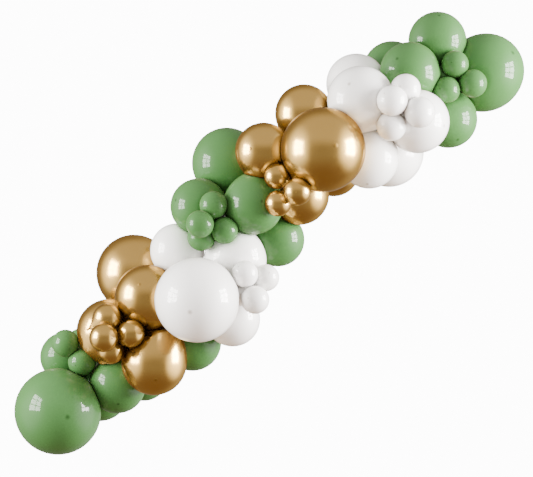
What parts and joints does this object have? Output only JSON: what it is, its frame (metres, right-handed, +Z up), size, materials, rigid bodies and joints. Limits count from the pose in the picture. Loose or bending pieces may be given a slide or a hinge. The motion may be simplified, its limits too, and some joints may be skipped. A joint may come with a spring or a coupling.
{
  "type": "balloon garland",
  "caption": "Balloon garland in sage green, chrome gold and white latex, clusters of large, medium and small balloons sweeping up a wall from lower left to upper right.",
  "frame": {"origin": "middle of the flat where the upper green back balloon presses on the wall, near the garland's upper right end", "axes": "+X to the right along the wall as seen from the room, +Y into the wall, which is the plane Y = 0, +Z up"},
  "size_m": [2.0334, 0.7788, 1.7644],
  "materials": {
    "sage_green_latex": "glossy inflated latex in sage green, slightly deeper where it is tied",
    "chrome_gold_latex": "mirror-like chrome-effect latex in warm gold",
    "white_latex": "glossy inflated latex in opaque white"
  },
  "bodies": {
    "root": {"lower_green_large": "sage_green_latex", "lower_green_back_left": "sage_green_latex", "lower_green_low": "sage_green_latex", "lower_green_far": "sage_green_latex", "lower_green_right": "sage_green_latex", "lower_green_small_1": "sage_green_latex", "lower_green_small_2": "sage_green_latex", "lower_green_small_3": "sage_green_latex", "lower_gold_left": "chrome_gold_latex", "lower_gold_top": "chrome_gold_latex", "lower_gold_mid": "chrome_gold_latex", "lower_gold_bottom": "chrome_gold_latex", "lower_gold_small_1": "chrome_gold_latex", "lower_gold_small_2": "chrome_gold_latex", "lower_gold_small_3": "chrome_gold_latex", "lower_gold_small_4": "chrome_gold_latex", "tucked_green_under": "sage_green_latex", "lower_white_large": "white_latex", "lower_white_left": "white_latex", "lower_white_right": "white_latex", "lower_white_low": "white_latex", "lower_white_small_1": "white_latex", "lower_white_small_2": "white_latex", "lower_white_small_3": "white_latex", "lower_white_small_4": "white_latex", "middle_green_top": "sage_green_latex", "middle_green_left": "sage_green_latex", "middle_green_mid": "sage_green_latex", "middle_green_low": "sage_green_latex", "middle_green_small_1": "sage_green_latex", "middle_green_small_2": "sage_green_latex", "middle_green_small_3": "sage_green_latex", "middle_green_small_4": "sage_green_latex", "upper_gold_large": "chrome_gold_latex", "upper_gold_top": "chrome_gold_latex", "upper_gold_left": "chrome_gold_latex", "upper_gold_low": "chrome_gold_latex", "upper_gold_far": "chrome_gold_latex", "upper_gold_small_1": "chrome_gold_latex", "upper_gold_small_2": "chrome_gold_latex", "upper_gold_small_3": "chrome_gold_latex", "upper_white_back": "white_latex", "upper_white_left": "white_latex", "upper_white_low": "white_latex", "upper_white_low_back": "white_latex", "upper_white_right": "white_latex", "upper_white_small_1": "white_latex", "upper_white_small_2": "white_latex", "upper_white_small_3": "white_latex", "upper_white_small_4": "white_latex", "upper_green_back": "sage_green_latex", "upper_green_left": "sage_green_latex", "upper_green_top": "sage_green_latex", "upper_green_low": "sage_green_latex", "upper_green_large": "sage_green_latex", "upper_green_small_1": "sage_green_latex", "upper_green_small_2": "sage_green_latex", "upper_green_small_3": "sage_green_latex", "upper_green_small_4": "sage_green_latex"}
  },
  "joints": []
}
